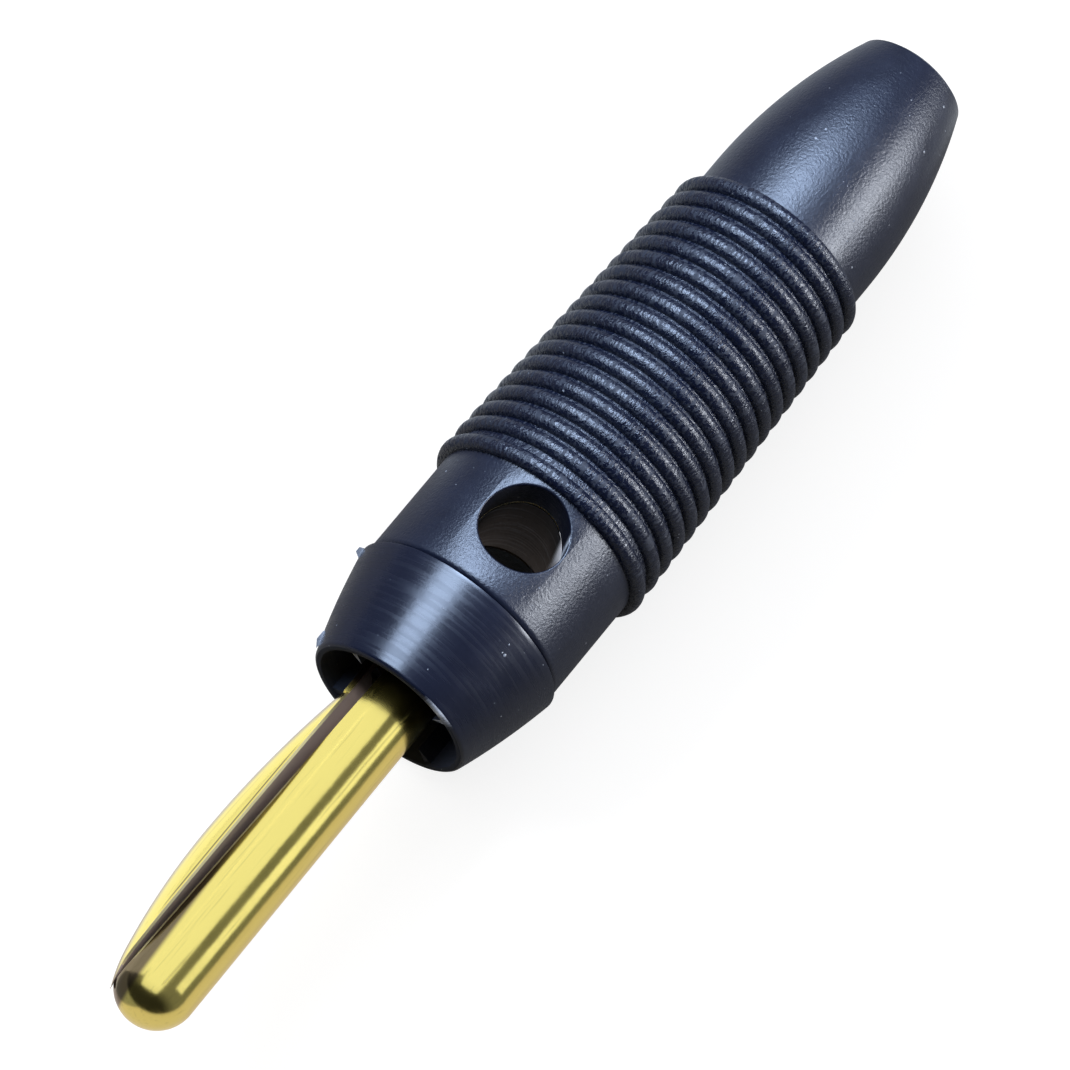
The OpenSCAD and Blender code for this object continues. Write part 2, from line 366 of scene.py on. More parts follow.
# %% Node groups
def new_group(name, numbers, outputs):
    group = bpy.data.node_groups.new(name, "ShaderNodeTree")
    group.interface.new_socket("Position", in_out="INPUT", socket_type="NodeSocketVector")
    for label, value in numbers:
        socket = group.interface.new_socket(label, in_out="INPUT", socket_type="NodeSocketFloat")
        socket.default_value = value
    for label in outputs:
        group.interface.new_socket(label, in_out="OUTPUT", socket_type="NodeSocketFloat")
    enter = group.nodes.new("NodeGroupInput")
    leave = group.nodes.new("NodeGroupOutput")
    return group, enter, leave


def feed(tree, socket, value):
    """Links another node's output into a socket, or sets a plain value on it."""
    if isinstance(value, bpy.types.NodeSocket):
        tree.links.new(value, socket)
    else:
        socket.default_value = value


def math_node(tree, operation, *values):
    node = tree.nodes.new("ShaderNodeMath")
    node.operation = operation
    for socket, value in zip(node.inputs, values):
        feed(tree, socket, value)
    return node.outputs[0]


def ramp_node(tree, value, low, high):
    node = tree.nodes.new("ShaderNodeMapRange")
    node.interpolation_type = "SMOOTHSTEP"
    for label, source in (("Value", value), ("From Min", low), ("From Max", high)):
        feed(tree, node.inputs[label], source)
    return node.outputs["Result"]


def split_axes(tree, position):
    node = tree.nodes.new("ShaderNodeSeparateXYZ")
    tree.links.new(position, node.inputs[0])
    return node.outputs


grain_group, enter, leave = new_group("moulded_grain", [("Size mm", 0.2)], ["Height"])
frequency = math_node(grain_group, "DIVIDE", 1.0, enter.outputs["Size mm"])
coarse = grain_group.nodes.new("ShaderNodeTexNoise")
coarse.inputs["Detail"].default_value = 3
coarse.inputs["Roughness"].default_value = 0.65
grain_group.links.new(enter.outputs["Position"], coarse.inputs["Vector"])
grain_group.links.new(frequency, coarse.inputs["Scale"])
grain_group.links.new(coarse.outputs["Fac"], leave.inputs["Height"])

specks_group, enter, leave = new_group(
    "dust_specks", [("Spacing mm", 0.8), ("Share", 0.3), ("Size mm", 0.05)], ["Mask"])
frequency = math_node(specks_group, "DIVIDE", 1.0, enter.outputs["Spacing mm"])
cells = specks_group.nodes.new("ShaderNodeTexVoronoi")
specks_group.links.new(enter.outputs["Position"], cells.inputs["Vector"])
specks_group.links.new(frequency, cells.inputs["Scale"])
reach = math_node(specks_group, "DIVIDE", enter.outputs["Size mm"], enter.outputs["Spacing mm"])
chance = specks_group.nodes.new("ShaderNodeSeparateColor")
specks_group.links.new(cells.outputs["Color"], chance.inputs[0])
picked = math_node(specks_group, "LESS_THAN", chance.outputs[0], enter.outputs["Share"])
sized = math_node(specks_group, "MULTIPLY", reach, chance.outputs[1])
inner = math_node(specks_group, "MULTIPLY", sized, 0.4)
dot = ramp_node(specks_group, cells.outputs["Distance"], sized, inner)
specks_group.links.new(math_node(specks_group, "MULTIPLY", dot, picked), leave.inputs["Mask"])

streak_group, enter, leave = new_group(
    "tool_streaks", [("Low", 0.55), ("High", 0.7)], ["Mask", "Height"])
marks = streak_group.nodes.new("ShaderNodeTexNoise")
marks.inputs["Scale"].default_value = 1
marks.inputs["Detail"].default_value = 2
streak_group.links.new(enter.outputs["Position"], marks.inputs["Vector"])
streak_mask = ramp_node(
    streak_group, marks.outputs["Fac"], enter.outputs["Low"], enter.outputs["High"])
streak_group.links.new(streak_mask, leave.inputs["Mask"])
streak_group.links.new(marks.outputs["Fac"], leave.inputs["Height"])
print("groups:", [g.name for g in (grain_group, specks_group, streak_group)])

# %% [markdown]
# ## Material helpers
# A material starts from the Principled shader. The helpers below place a group with its own values,
# stretch the coordinates for marks that run one way, blend two colours by a mask, and stack bumps.

# %% Material helpers
def stretched(tree, position, factors):
    node = tree.nodes.new("ShaderNodeVectorMath")
    node.operation = "MULTIPLY"
    node.inputs[1].default_value = factors
    tree.links.new(position, node.inputs[0])
    return node.outputs[0]


def new_material(name):
    material = bpy.data.materials.new(name)
    material.use_nodes = True
    tree = material.node_tree
    place = tree.nodes.new("ShaderNodeTexCoord")
    position = stretched(tree, place.outputs["Object"], (1 / MM, 1 / MM, 1 / MM))
    return material, tree, tree.nodes["Principled BSDF"], position


def place_group(tree, group, position, **values):
    node = tree.nodes.new("ShaderNodeGroup")
    node.node_tree = group
    tree.links.new(position, node.inputs["Position"])
    for label, value in values.items():
        node.inputs[label.replace("_", " ")].default_value = value
    return node


def streaks(tree, position, factors, low, high):
    return place_group(
        tree, streak_group, stretched(tree, position, factors), Low=low, High=high)


def blend_colour(tree, mask, first, second):
    node = tree.nodes.new("ShaderNodeMix")
    node.data_type = "RGBA"
    tree.links.new(mask, node.inputs["Factor"])
    for socket, value in ((node.inputs[6], first), (node.inputs[7], second)):
        feed(tree, socket, (*value, 1) if isinstance(value, tuple) else value)
    return node.outputs[2]


def add_bump(tree, shader, height, distance_mm, before=None):
    node = tree.nodes.new("ShaderNodeBump")
    node.inputs["Distance"].default_value = distance_mm * MM
    tree.links.new(height, node.inputs["Height"])
    if before is not None:
        tree.links.new(before, node.inputs["Normal"])
    tree.links.new(node.outputs[0], shader.inputs["Normal"])
    return node.outputs[0]


print("material helpers ready")

# %% [markdown]
# ## Gold plating
# The pin is turned brass with thin gold on it: a bright metal with faint rings from the lathe,
# lengthwise rub marks from sockets, and a soft clouding of the polish. In and near the nose's recess
# its colour turns dull and brown as painted shade, and the shank behind is plain brass. A dark and a
# pale line along the edges next to the gap are painted reflections. The group "edge_line" makes
# each of them, as a mask between two slanting heights that fades out at both ends. The leaf's flank
# is darkened with painted shade where it turns away from the view. Four face attributes steer the
# rest: one paints shade, a dull grey-brown, on the walls of the gap under the leaf, "bore" paints
# the cross hole near black as shade, with faint ring highlights, "glint" paints a white highlight
# streak on one side of that hole, and "edge" makes the leaf's bevel satin and paints a pale
# highlight on it.

# %% Gold material
def attribute_value(tree, name):
    node = tree.nodes.new("ShaderNodeAttribute")
    node.attribute_name = name
    return node.outputs["Fac"]


LINE_VALUES = (
    "Base", "Climb", "Bottom", "Lower", "Upper", "Top", "Front", "Begin", "Fade", "End")
line_group, enter, leave = new_group(
    "edge_line", [(label, 0.0) for label in LINE_VALUES], ["Mask"])
axes = split_axes(line_group, enter.outputs["Position"])
climbing = math_node(line_group, "MULTIPLY", axes["X"], enter.outputs["Climb"])
sloped = math_node(line_group, "ADD", axes["Y"], climbing)
over = math_node(line_group, "SUBTRACT", sloped, enter.outputs["Base"])
mask = 1.0
for value, low, high in (
        (over, "Bottom", "Lower"), (over, "Top", "Upper"),
        (axes["X"], "Front", "Begin"), (axes["X"], "End", "Fade")):
    step = ramp_node(line_group, value, enter.outputs[low], enter.outputs[high])
    mask = math_node(line_group, "MULTIPLY", step, mask)
line_group.links.new(mask, leave.inputs["Mask"])

CLEAR_GOLD = (0.72, 0.625, 0.187)
RUBBED_GOLD = tuple(c * 0.88 for c in CLEAR_GOLD)
PIT_BROWN = (0.2, 0.15, 0.06)
# Painted reflections: a dark and a pale colour for the lines along the edges by the gap.
DARK_REFLECTION = (0.16, 0.128, 0.075)
PALE_HIGHLIGHT = (0.88, 0.82, 0.5)
# Painted shade: the dull brown of the gold in the nose's recess.
RECESS_SHADE_BROWN = (0.085, 0.048, 0.036)
PLAIN_BRASS = (0.6, 0.46, 0.2)
# Painted shade for the walls of the gap under the leaf: a paler tone, and a deeper one towards the
# recess.
GAP_SHADE_PALE, GAP_SHADE_DEEP = (0.46, 0.39, 0.36), (0.05, 0.04, 0.035)
# Painted shade for the cross hole, near black, with faint ring highlights painted on its machining
# marks.
BORE_SHADE, BORE_RING_HIGHLIGHT = (0.009, 0.0105, 0.013), (0.055, 0.062, 0.07)
# Painted highlight: a white streak in the cross hole.
GLINT_WHITE = (0.86, 0.9, 1.0)


def gold_material(name, shade_from, shade_to, dark_line, pale_line, rim):
    material, tree, shader, position = new_material(name)
    # Painted reflections: a dark and a pale line along the edges by the gap. Painted shade darkens
    # the leaf's flank where it turns away.
    dark, pale = (
        place_group(tree, line_group, position, **dict(zip(LINE_VALUES, values))).outputs["Mask"]
        for values in (dark_line, pale_line))
    gap_shade, bore, edge, glint = (
        attribute_value(tree, label) for label in ("gap_shade", "bore", "edge", "glint"))
    facing = tree.nodes.new("ShaderNodeLayerWeight")
    turned_away = ramp_node(tree, facing.outputs["Facing"], 0.6, 0.84)
    shaded = math_node(tree, "MAXIMUM", dark, math_node(tree, "MULTIPLY", turned_away, rim))
    bore_ring_highlights = streaks(tree, position, (0.3, 0.3, 4), 0.5, 0.72).outputs["Mask"]
    rings = streaks(tree, position, (16, 0.5, 0.5), 0.4, 0.7).outputs["Height"]
    rubs = streaks(tree, position, (0.22, 6, 6), 0.58, 0.74).outputs["Mask"]
    cloud = place_group(tree, grain_group, position, Size_mm=2.2).outputs["Height"]
    pits = place_group(tree, specks_group, position, Spacing_mm=0.8, Share=0.25, Size_mm=0.07)
    station = split_axes(tree, position)["X"]
    # Painted shade: towards the nose's recess the gold turns dull brown, unevenly.
    uneven = math_node(tree, "MULTIPLY_ADD", cloud, 0.8, station)
    recess_shade = ramp_node(tree, uneven, shade_from, shade_to)
    bare = ramp_node(tree, station, 4.0, 6.0)
    satin_highlight = math_node(tree, "MAXIMUM", pale, edge)
    gap_shade_tone = blend_colour(tree, recess_shade, GAP_SHADE_PALE, GAP_SHADE_DEEP)
    bore_shade_tone = blend_colour(tree, bore_ring_highlights, BORE_SHADE, BORE_RING_HIGHLIGHT)
    colour = blend_colour(tree, rubs, CLEAR_GOLD, RUBBED_GOLD)
    for mask, coat in (
            (pits.outputs["Mask"], PIT_BROWN), (shaded, DARK_REFLECTION), (satin_highlight, PALE_HIGHLIGHT),
            (recess_shade, RECESS_SHADE_BROWN), (bare, PLAIN_BRASS), (gap_shade, gap_shade_tone), (bore, bore_shade_tone),
            (glint, GLINT_WHITE)):
        colour = blend_colour(tree, mask, colour, coat)
    tree.links.new(colour, shader.inputs["Base Color"])
    # The painted shade of the gap, the painted bore and the painted glint are not metal.
    painted_areas = math_node(tree, "MAXIMUM", gap_shade, math_node(tree, "MAXIMUM", bore, glint))
    tree.links.new(math_node(tree, "SUBTRACT", 1.0, painted_areas), shader.inputs["Metallic"])
    matt_bore = math_node(tree, "MULTIPLY_ADD", bore, -0.45, 0.5)
    tree.links.new(matt_bore, shader.inputs["Specular IOR Level"])
    rough = math_node(tree, "MULTIPLY_ADD", cloud, 0.14, 0.11)
    rough = math_node(tree, "MULTIPLY_ADD", rubs, 0.08, rough)
    matt = math_node(tree, "MAXIMUM", painted_areas, satin_highlight)
    rough = math_node(tree, "MULTIPLY_ADD", matt, 0.3, rough)
    tree.links.new(rough, shader.inputs["Roughness"])
    first = add_bump(tree, shader, rings, 0.001)
    add_bump(tree, shader, cloud, 0.012, first)
    return material


# Each piece gets its own span of painted recess shade and its own painted reflection lines by the
# gap.
pin_gold = gold_material(
    "pin_gold", shade_from=0.35, shade_to=1.4,
    dark_line=(1.73, -0.0497, -0.2, 0.08, 5, 6, -19.5, -19, -12, -6),
    pale_line=(1.12, 0.0253, -0.1, -0.07, 0.02, 0.05, -17.2, -16, -7, -4.5), rim=0.0)
leaf_gold = gold_material(
    "leaf_gold", shade_from=-0.3, shade_to=0.5,
    dark_line=(1.747, 0.0, 0.17, 0.2, 0.22, 0.25, -15, -13, -6, -4),
    pale_line=(1.747, 0.0, -0.05, 0.0, 0.09, 0.13, -17, -15, -4, -2), rim=0.85)
print("gold:", pin_gold.name, leaf_gold.name)

# %% [markdown]
# ## Black plastics
# Nose and sleeve are both a blue-black moulding, but not alike: the nose came out of a polished
# tool and shines, with fine rings round it, while the sleeve has a fine eroded grain that turns
# coarse on its ribs. Fine dull nicks across the ribs break their highlights into dashes. Pale dust
# sits on both, thickest in one patch on the nose. Two face attributes steer the rest: the first
# paints pale highlights on the ends of the nose's wedges, on a strip of its front rim and on one
# side of the sleeve's cross hole, and gives the flash that the mould left pale scuffs; "inner" faces
# are dull, as in the nose's recess and on its front ring.

# %% Plastic materials
RIBS_BEGIN, RIBS_END = (11.0, 11.3), (29.7, 29.4)
DUST_PATCH = (4.3, -2.93, 4.41)
# Pale colour for painted highlights and for the scuffs on the flash.
SCUFF_AND_HIGHLIGHT_PALE = (0.5, 0.48, 0.47)
DUST_GREY = (0.16, 0.16, 0.165)


def plastic_material(
        name, colour, low_gloss, gloss_range, ring_gloss, grain_mm, grain_depth, dust_share):
    material, tree, shader, position = new_material(name)
    shader.inputs["IOR"].default_value = 1.47
    station = split_axes(tree, position)["X"]
    on_ribs = math_node(
        tree, "MULTIPLY", ramp_node(tree, station, *RIBS_BEGIN), ramp_node(tree, station, *RIBS_END))
    fine, cloud, scuff = (
        place_group(tree, grain_group, position, Size_mm=size).outputs["Height"]
        for size in (grain_mm, 1.6, 0.25))
    coarse = place_group(tree, grain_group, stretched(tree, position, (0.45, 1, 1)), Size_mm=0.16)
    rough_ribs = math_node(tree, "MULTIPLY", coarse.outputs["Height"], on_ribs)
    ticks = streaks(tree, position, (0.9, 6.5, 6.5), 0.5, 0.6)
    nicked = math_node(tree, "MULTIPLY", ticks.outputs["Mask"], on_ribs)
    rings = streaks(tree, position, (5.5, 0.3, 0.3), 0.42, 0.66)
    dust, lint, crumbs = (
        place_group(
            tree, specks_group, position, Spacing_mm=spacing, Share=share, Size_mm=size,
        ).outputs["Mask"]
        for spacing, share, size in (
            (0.7, dust_share, 0.1), (0.31, dust_share, 0.045), (0.26, 0.6, 0.11)))
    apart = tree.nodes.new("ShaderNodeVectorMath")
    apart.operation = "DISTANCE"
    apart.inputs[1].default_value = DUST_PATCH
    tree.links.new(position, apart.inputs[0])
    patch = math_node(tree, "MULTIPLY", crumbs, ramp_node(tree, apart.outputs["Value"], 0.9, 0.4))
    specks = math_node(tree, "MAXIMUM", math_node(tree, "MAXIMUM", dust, lint), patch)
    # Pale marks: painted highlights on thin edges and in the cross hole, and scuffs on the flash.
    scuff_and_highlight = math_node(tree, "MULTIPLY", attribute_value(tree, "wear_and_highlight"), scuff)
    clouded = blend_colour(
        tree, cloud, tuple(c * 0.75 for c in colour), tuple(c * 1.3 for c in colour))
    scratched = blend_colour(tree, scuff_and_highlight, clouded, SCUFF_AND_HIGHLIGHT_PALE)
    dusty = blend_colour(tree, specks, scratched, DUST_GREY)
    tree.links.new(dusty, shader.inputs["Base Color"])
    rough = math_node(tree, "MULTIPLY_ADD", cloud, gloss_range, low_gloss)
    for mask, change in (
            (rings.outputs["Mask"], ring_gloss), (on_ribs, -0.17), (nicked, 0.5),
            (attribute_value(tree, "inner"), 0.5)):
        rough = math_node(tree, "MULTIPLY_ADD", mask, change, rough)
    tree.links.new(rough, shader.inputs["Roughness"])
    bump = None
    for height, depth in (
            (fine, grain_depth), (rings.outputs["Height"], 0.003), (rough_ribs, 0.055),
            (specks, 0.012)):
        bump = add_bump(tree, shader, height, depth, bump)
    return material


nose_black = plastic_material(
    "nose_gloss_black", (0.0024, 0.0034, 0.0085), low_gloss=0.19, gloss_range=0.12,
    ring_gloss=0.08, grain_mm=0.3, grain_depth=0.004, dust_share=0.16)
sleeve_black = plastic_material(
    "sleeve_grained_black", (0.0026, 0.0037, 0.0092), low_gloss=0.27, gloss_range=0.14,
    ring_gloss=0.03, grain_mm=0.15, grain_depth=0.026, dust_share=0.22)
print("plastics:", nose_black.name, sleeve_black.name)

# %% [markdown]
# ## Steel of the clamp screw
# The small screw that clamps the wire is plain turned steel. Its end shows rings from the lathe.

# %% Steel material
turned_steel, tree, shader, position = new_material("screw_turned_steel")
shader.inputs["Metallic"].default_value = 1
rings = streaks(tree, position, (0.6, 0.6, 14), 0.4, 0.7)
cloud = place_group(tree, grain_group, position, Size_mm=0.5).outputs["Height"]
steel_tone = blend_colour(tree, cloud, (0.5, 0.5, 0.49), (0.68, 0.67, 0.64))
tree.links.new(steel_tone, shader.inputs["Base Color"])
rough = math_node(tree, "MULTIPLY_ADD", cloud, 0.2, 0.22)
tree.links.new(rough, shader.inputs["Roughness"])
add_bump(tree, shader, rings.outputs["Height"], 0.002)
print("steel:", turned_steel.name)

# %% [markdown]
# ## The contact pin
# The pin, its neck and the shank inside the sleeve are turned from one bar. The front is spun from
# its outline, then the seat of the leaf is milled away with a boolean cutter. The seat is hollowed
# to a vee that deepens towards the nose, where the leaf needs most room to move. Two slices with a
# plane take off its long edges; bisecting keeps the other surfaces exact.

# %% Pin front with its milled seat
pin_length = 19.0
tip_r = 1.93
root_r = 1.83
seat_root_y = 1.12
seat_slope = math.radians(1.45)
recess_depth = 2.0
pin_end = recess_depth + 0.05
groove_floor = 0.03
groove_fall = math.tan(math.radians(1.55))


def slice_off(bm, point, normal):
    """Removes everything on the normal's side of a plane and closes the cut."""
    out = bmesh.ops.bisect_plane(
        bm, geom=bm.verts[:] + bm.edges[:] + bm.faces[:], dist=0.0001, plane_co=point,
        plane_no=normal, clear_outer=True)
    rim = [g for g in out["geom_cut"] if isinstance(g, bmesh.types.BMEdge)]
    bmesh.ops.contextual_create(bm, geom=rim)
    bmesh.ops.recalc_face_normals(bm, faces=bm.faces)


pin_bm, vert = pen_start(-pin_length, 0)
vert = pen_arc(pin_bm, vert, -pin_length + tip_r, 0, -90, 40)
pen_lines(pin_bm, vert, (0, root_r), (pin_end, root_r), (pin_end, 0))
spin_about(pin_bm, (1, 0, 0), 144)


def seat_y(x):
    return seat_root_y - x * math.tan(seat_slope)


def pin_r(x):
    hub_x = tip_r - pin_length
    if x < hub_x:
        return math.sqrt(max(tip_r ** 2 - (x - hub_x) ** 2, 0))
    return root_r - min(x, 0) * (tip_r - root_r) / -hub_x


def seat_cutter():
    ahead, behind, half_width, height = 0.6, 0.2, 3, 5
    bm = bmesh.new()
    bmesh.ops.create_grid(bm, x_segments=80, y_segments=16, size=1)
    front = -pin_length - ahead
    for vert in bm.verts:
        x = front + (vert.co.x + 1) / 2 * (recess_depth + behind - front)
        half = math.sqrt(max(pin_r(x) ** 2 - seat_y(x) ** 2, 0.0004))
        across_seat = min(1, abs(vert.co.y) * 2)
        beyond = max(0, abs(vert.co.y) * 2 - 1)
        groove = groove_floor + groove_fall * max(0, x + pin_length)
        vert.co = (
            x, seat_y(x) - groove * (1 - across_seat),
            math.copysign(across_seat * half + beyond * (half_width - half), vert.co.y))
    top = bmesh.ops.extrude_face_region(bm, geom=bm.faces[:], use_keep_orig=True)["geom"]
    top_verts = [g for g in top if isinstance(g, bmesh.types.BMVert)]
    bmesh.ops.translate(bm, verts=top_verts, vec=(0, height, 0))
    face_outwards(bm)
    print("seat cutter open edges:", sum(1 for e in bm.edges if len(e.link_faces) != 2))
    return bm


pin_bm = cut_away(pin_bm, seat_cutter())


def seat_edge(x, side, inset):
    return Vector((x, seat_y(x), side * (math.sqrt(pin_r(x) ** 2 - seat_y(x) ** 2) - inset)))


for side in (-1, 1):
    rear_point = seat_edge(-3.0, side, inset=0.01)
    run = seat_edge(-15.5, side, inset=0.13) - rear_point
    chamfer_normal = run.cross(Vector((0, -0.9, side))).normalized()
    if chamfer_normal.y < 0:
        chamfer_normal.negate()
    slice_off(pin_bm, rear_point, chamfer_normal)
print("pin front:", len(pin_bm.verts), "vertices")

# %% [markdown]
# Behind the nose's recess the bar steps up to the neck and the shank. The shank carries the hole
# for a second plug, the tapped hole of the clamp screw, and the hole for the bare wire. These are
# cut with exact booleans, as drilling would, because they cross the round bar at right angles. The
# big hole's rim is softly rounded and follows the bar's round, so its tool is spun with a flared
# mouth and every point of it is lifted by the height of the round surface under that point.

# %% Neck and shank
nose_length = 5.2
spigot_end = 6.1
shank_end = 19.9
neck_r = 2.6
shank_r = 3.2
shank_chamfer = 0.3
wire_r = 1.3
wire_chamfer = 0.2
wire_depth = 7.5
wire_cone = 0.7
cross_hole_x = 8.92
cross_hole_r = 2.1
hole_cut_depth = 3.4
hole_cut_top = 0.9
rim_sweep = 72
clamp_x = 16.4
clamp_hole_r = 1.5
clamp_hole_depth = 4
slot_centre = (2.3, 2.1, 0)
slot_size = (2.6, 2.04, 2.04)

shank_bm, start = pen_start(recess_depth, 0)
pen_lines(
    shank_bm, start, (recess_depth, neck_r), (spigot_end, neck_r),
    (spigot_end, shank_r - shank_chamfer), (spigot_end + shank_chamfer, shank_r),
    (shank_end - shank_chamfer, shank_r), (shank_end, shank_r - shank_chamfer),
    (shank_end, wire_r + wire_chamfer), (shank_end - wire_chamfer, wire_r),
    (shank_end - wire_depth, wire_r), (shank_end - wire_depth - wire_cone, 0))
spin_about(shank_bm, (1, 0, 0), 128)


def add_box(bm, centre, sizes):
    bmesh.ops.create_cube(
        bm, size=1, matrix=Matrix.Translation(Vector(centre)) @ Matrix.Diagonal((*sizes, 1)))


def hole_cutter(surface_r, rim_round, flare, upper):
    mouth = cross_hole_r + flare
    bm, vert = pen_start(0, -hole_cut_depth)
    vert = pen_lines(bm, vert, (cross_hole_r, -hole_cut_depth), (cross_hole_r, -rim_round))
    vert = pen_arc(bm, vert, cross_hole_r + rim_round, -rim_round, -rim_sweep, 6)
    slope = math.tan(math.radians(90 - rim_sweep))
    mouth_y = (mouth - vert.co.x) * slope + vert.co.y
    pen_lines(bm, vert, (mouth, mouth_y), (mouth, hole_cut_top), (0, hole_cut_top))
    spin_about(bm, (0, 1, 0), 128)
    for vert in bm.verts:
        out_x, height, out_y = vert.co
        surface = math.sqrt(surface_r ** 2 - out_y ** 2)
        vert.co = (cross_hole_x + out_x, out_y, height + surface)
    if not upper:
        bmesh.ops.scale(bm, vec=(1, 1, -1), verts=bm.verts)
    face_outwards(bm)
    return bm


for upper in (True, False):
    shank_bm = cut_away(shank_bm, hole_cutter(shank_r, rim_round=0.2, flare=0.24, upper=upper))
drill_bm = bmesh.new()
bmesh.ops.create_cone(
    drill_bm, cap_ends=True, segments=96, radius1=clamp_hole_r, radius2=clamp_hole_r,
    depth=clamp_hole_depth, matrix=Matrix.Translation((clamp_x, 0, clamp_hole_depth / 2)))
shank_bm = cut_away(shank_bm, drill_bm)
slot_bm = bmesh.new()
add_box(slot_bm, slot_centre, slot_size)
shank_bm = cut_away(shank_bm, slot_bm)
joint_mesh = bpy.data.meshes.new("pin_front")
pin_bm.to_mesh(joint_mesh)
pin_bm.free()
shank_bm.from_mesh(joint_mesh)
bpy.data.meshes.remove(joint_mesh)
shank_bm.normal_update()

near_wall = 0.02
rim_width = 0.16
rim_glint = 0.8
# Painted highlight: a white streak on one side of the cross hole's wall and on its rim.
rim_glint_from, glint_from, glint_to = 30, 40, 95
glint_fade = 8
# Painted shade: a dull grey-brown on the walls of the gap under the leaf.
gap_shade_layer = shank_bm.faces.layers.float.new("gap_shade")
# Painted shade: the cross hole's wall is near black.
bore_layer = shank_bm.faces.layers.float.new("bore")
glint_layer = shank_bm.faces.layers.float.new("glint")
for face in shank_bm.faces:
    middle = face.calc_center_median()
    in_gap = middle.x < recess_depth and middle.y < seat_y(middle.x) + near_wall
    face[gap_shade_layer] = float(in_gap and face.normal.y > 0.85)
    beyond_wall = math.hypot(middle.x - cross_hole_x, middle.y) - cross_hole_r
    face[bore_layer] = float(abs(beyond_wall) < near_wall)
    on_rim = middle.z > 2 and near_wall < beyond_wall < rim_width
    round_hole = math.degrees(math.atan2(-middle.y, middle.x - cross_hole_x))
    if on_rim and rim_glint_from < round_hole < glint_to:
        face[glint_layer] = rim_glint
    elif face[bore_layer] and round_hole < glint_to:
        face[glint_layer] = min(1.0, max(0.0, (round_hole - glint_from) / glint_fade))
for layer in (gap_shade_layer, bore_layer, glint_layer):
    print(layer.name, "on", sum(1 for f in shank_bm.faces if f[layer] > 0), "faces")
shade_by_angle(shank_bm, 25)
finish_piece(shank_bm, "turned_contact", "contact", "contact_pin", "gold_contact", pin_gold)

# %% [markdown]
# ## The spring leaf
# The leaf is a blade bowed outwards, so that it presses in a socket. Its back has the pin's round,
# its underside is a keel over the seat's groove, and both ends run out to a point; the free one is
# bent down a little over the pin's round tip. A grid is wrapped round the blade: its length runs
# from tip to root, its width goes once round the section, over the back, round the bevelled edge
# and along the underside. A plain sweep would not do, because the section thins to nothing at both
# ends.

# %% Spring leaf
leaf_tip_x = -18.45
leaf_root_x = 0.9
crown_x = -9.9
leaf_rise = 1.06
under_y = seat_y(leaf_tip_x) + 0.16
bevel_height = 0.11
bevel_width = 0.06
back_share = 0.72
bevel_share = 0.02
keel_steepest = 1.2
bend_x = -16.6
bend_drop = 0.2
end_crowding = 0.3
thinnest = 0.003
bevel_limit = 0.4
arm_x = 1.29
arm_size = (4.38, 0.25, 1.8)


def bow_rise(x):
    reach = crown_x - leaf_tip_x if x < crown_x else leaf_root_x - crown_x
    radius = (reach * reach + leaf_rise * leaf_rise) / (2 * leaf_rise)
    return leaf_rise - radius + math.sqrt(radius * radius - (x - crown_x) ** 2)


def leaf_point(lengthwise, round_share):
    eased = lengthwise - end_crowding * math.sin(2 * math.pi * lengthwise) / math.pi
    x = leaf_tip_x + eased * (leaf_root_x - leaf_tip_x)
    bend = max(0.0, (bend_x - x) / (bend_x - leaf_tip_x))
    under = under_y - bend_drop * bend * bend
    gap = under - seat_y(x)
    rise = max(bow_rise(x), thinnest)
    lift = min(bevel_height, bevel_limit * rise)
    half_angle = math.acos((tip_r - rise + lift) / tip_r)
    edge = tip_r * math.sin(half_angle)
    inner = edge - min(bevel_width, bevel_limit * edge)
    if round_share <= back_share + 0.001:
        angle = half_angle * (1 - 2 * round_share / back_share)
        return x, under + rise - tip_r * (1 - math.cos(angle)), tip_r * math.sin(angle)
    if round_share > 0.999:
        return x, under + lift, edge
    under_share = 1 - back_share - 2 * bevel_share
    across_under = 1 - 2 * (round_share - back_share - bevel_share) / under_share
    across_under = max(-1.0, min(1.0, across_under))
    keel = min(gap, inner * keel_steepest)
    return x, under - keel * (1 - abs(across_under)), -inner * across_under


leaf_bm = bmesh.new()
bmesh.ops.create_grid(leaf_bm, x_segments=140, y_segments=50, size=0.5)
for vert in leaf_bm.verts:
    vert.co = leaf_point(vert.co.x + 0.5, vert.co.y + 0.5)
bmesh.ops.remove_doubles(leaf_bm, verts=leaf_bm.verts, dist=0.001)
bmesh.ops.holes_fill(leaf_bm, edges=[e for e in leaf_bm.edges if e.is_boundary], sides=0)
face_outwards(leaf_bm)
add_box(leaf_bm, (arm_x, under_y + arm_size[1] / 2, 0), arm_size)
leaf_bm.normal_update()
# Painted shade on the leaf's keel over the gap.
gap_shade_layer = leaf_bm.faces.layers.float.new("gap_shade")
# Painted highlight: the leaf's bevel is pale, and satin.
edge_layer = leaf_bm.faces.layers.float.new("edge")
for face in leaf_bm.faces:
    height = face.calc_center_median().y
    face[gap_shade_layer] = float(face.normal.y < -0.1 and height < under_y - 0.001)
    face[edge_layer] = float(face.normal.y < -0.2 and height >= under_y - 0.001)
shade_by_angle(leaf_bm, 25)
finish_piece(leaf_bm, "bowed_leaf", "leaf", "spring_leaf", "gold_leaf", leaf_gold)

# %% [markdown]
# ## The nose collar
# The nose is a thin-walled cone with a slightly full side, open at the front round the pin, and four
# small wedges stiffen its wall. Its outline is drawn as one closed loop and spun; the wedges are
# three-sided prisms that run back to the floor of the recess.

